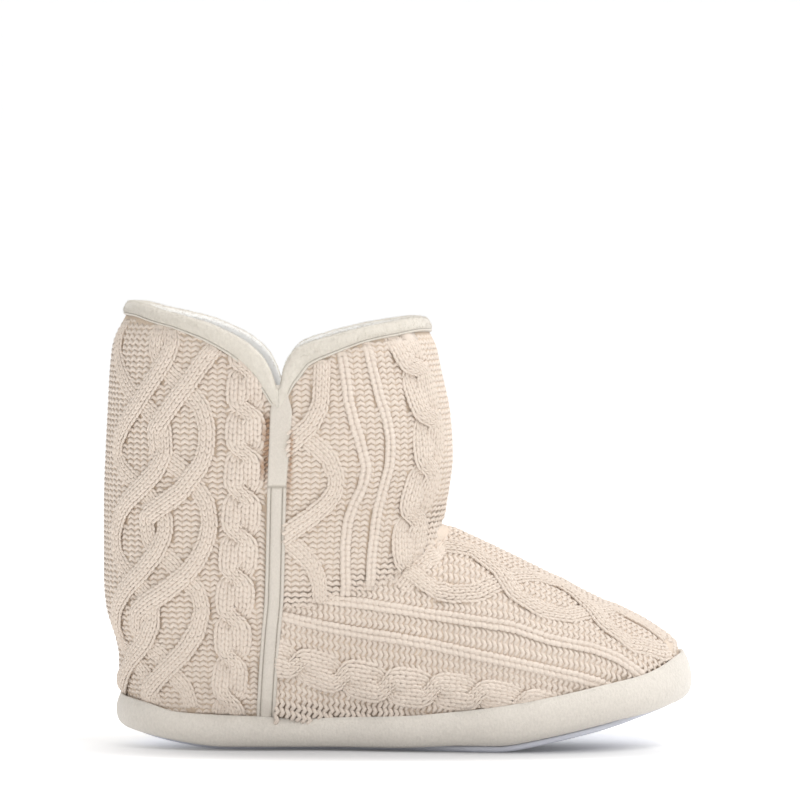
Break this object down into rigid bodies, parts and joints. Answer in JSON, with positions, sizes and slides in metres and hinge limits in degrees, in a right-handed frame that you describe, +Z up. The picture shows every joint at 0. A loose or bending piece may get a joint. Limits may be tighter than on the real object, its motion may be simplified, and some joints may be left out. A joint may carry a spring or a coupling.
{
  "type": "bootie slipper",
  "caption": "Right-foot knitted slipper boot with a notched padded collar, side seam tapes and a soft cloth covered sole.",
  "frame": {"origin": "on the floor, under the middle of the sole's length and of its width at the heel", "axes": "+X from heel to toe, +Y towards the inner side of the foot, +Z up"},
  "size_m": [0.2638, 0.1074, 0.198],
  "materials": {
    "outsole_cloth": "thin textile outsole, matt pale lavender grey",
    "velour": "short velour nap over soft foam, matt ivory",
    "plush": "white plush pile, matt",
    "knit": "cable knit wool yarn, matt oatmeal beige, lined with white plush",
    "binding": "short velour tape, matt ivory, stitched"
  },
  "bodies": {
    "root": {"outsole": "outsole_cloth", "midsole": "velour", "insole": "plush", "upper": "knit", "collar_binding_front": "binding", "collar_binding_back": "binding", "side_tape_outer": "binding", "side_tape_inner": "binding"}
  },
  "joints": []
}
